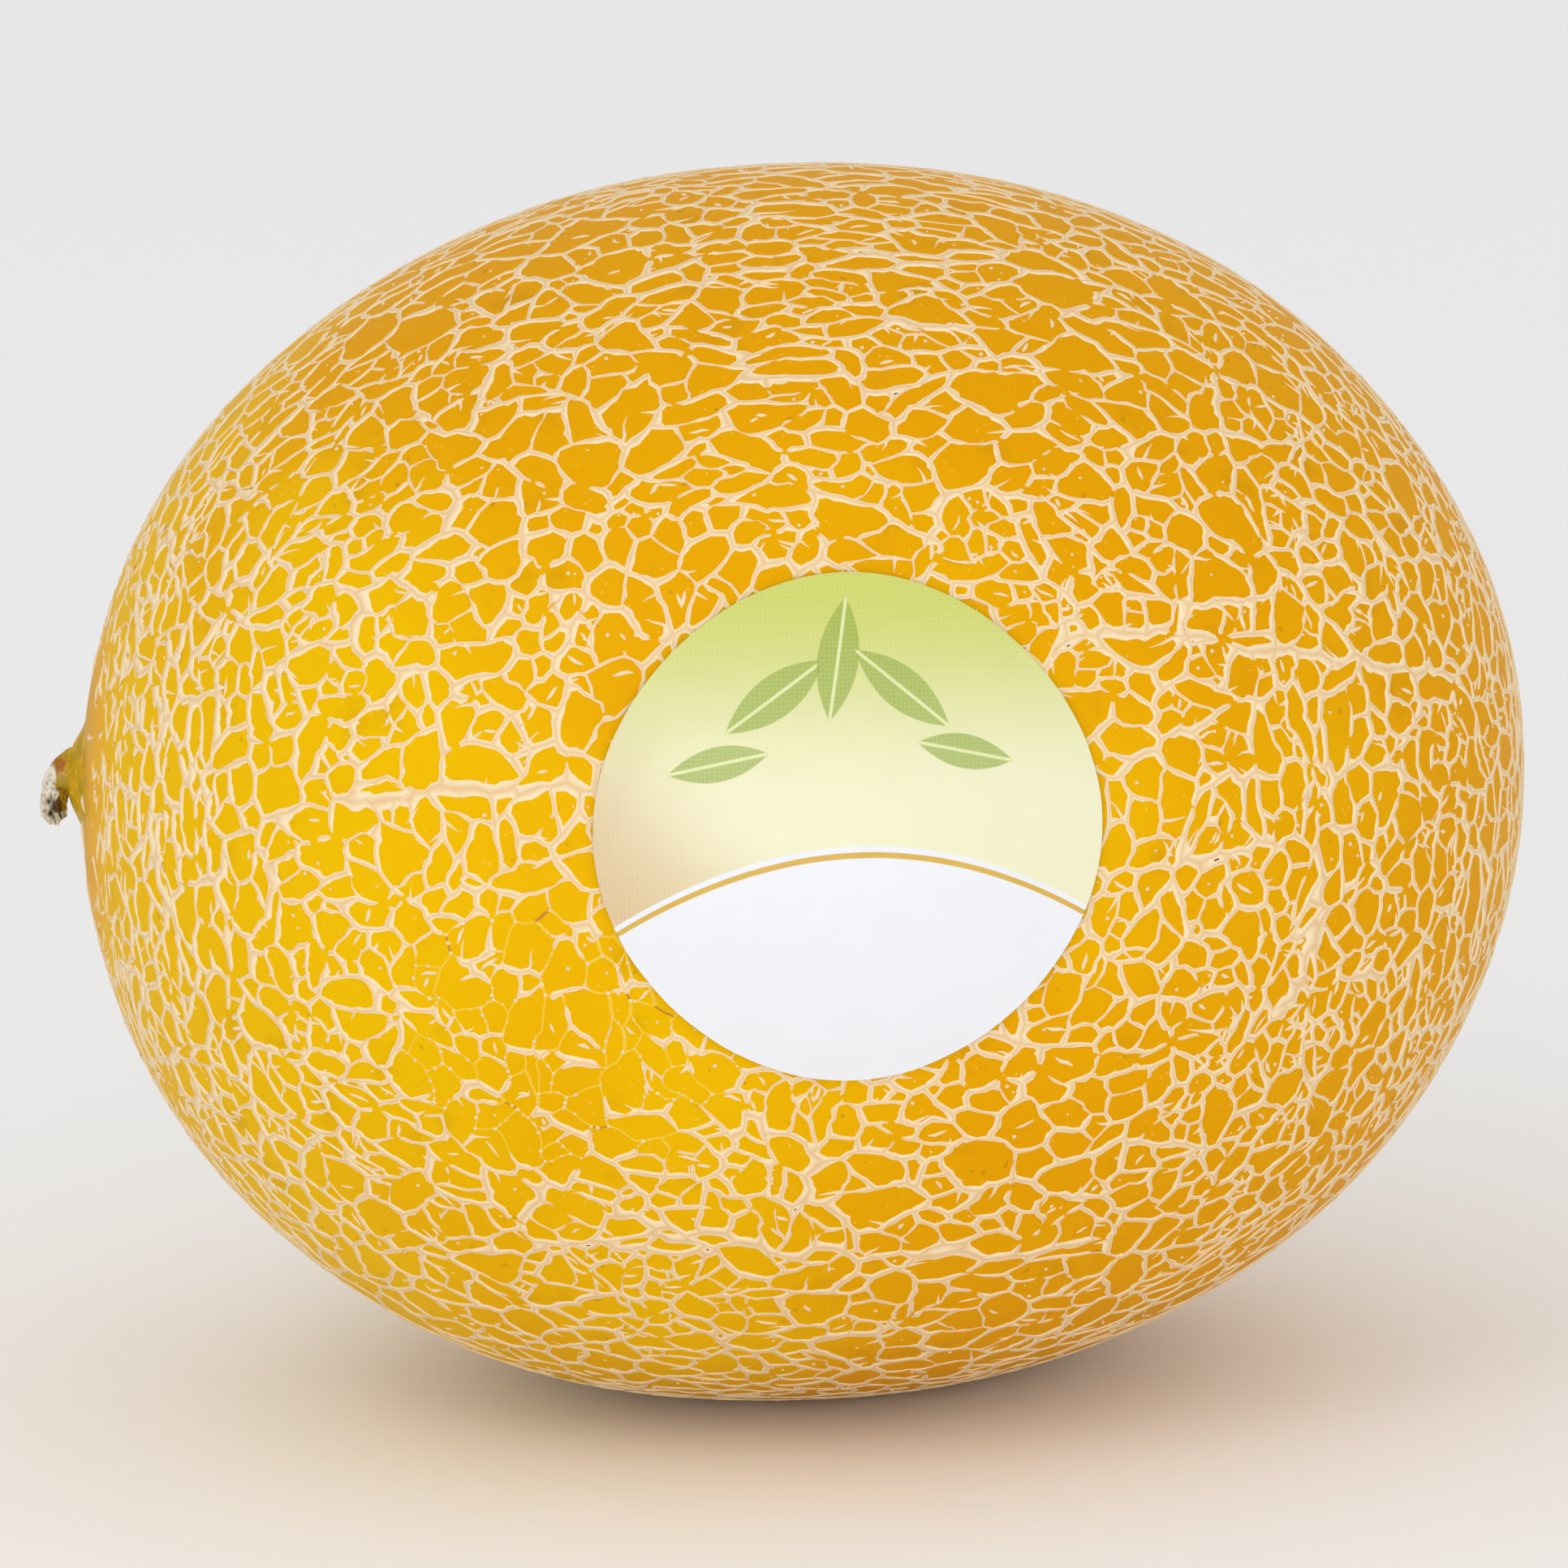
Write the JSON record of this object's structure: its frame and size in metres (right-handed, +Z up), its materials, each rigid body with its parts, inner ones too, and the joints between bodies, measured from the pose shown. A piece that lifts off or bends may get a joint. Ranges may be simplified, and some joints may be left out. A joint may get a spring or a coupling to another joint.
{
  "type": "galia melon",
  "caption": "Whole netted yellow melon lying on its side, with a raised cork net, a dry hooked stalk stub and a round paper label.",
  "frame": {"origin": "middle of the small flat spot on the fruit's underside that it rests on", "axes": "+X along the fruit from the stalk end to the blossom end, +Z up, and the round label faces -Y"},
  "size_m": [0.1547, 0.1302, 0.1278],
  "materials": {
    "netted_skin": "waxy golden yellow skin under a raised cream cork net",
    "dry_stalk": "dry woody stalk, brown-green with a pale torn end",
    "label_paper": "thin coated paper, green to cream above and white below"
  },
  "bodies": {
    "root": {"netted_fruit": "netted_skin", "stalk": "dry_stalk", "round_label": "label_paper"}
  },
  "joints": []
}
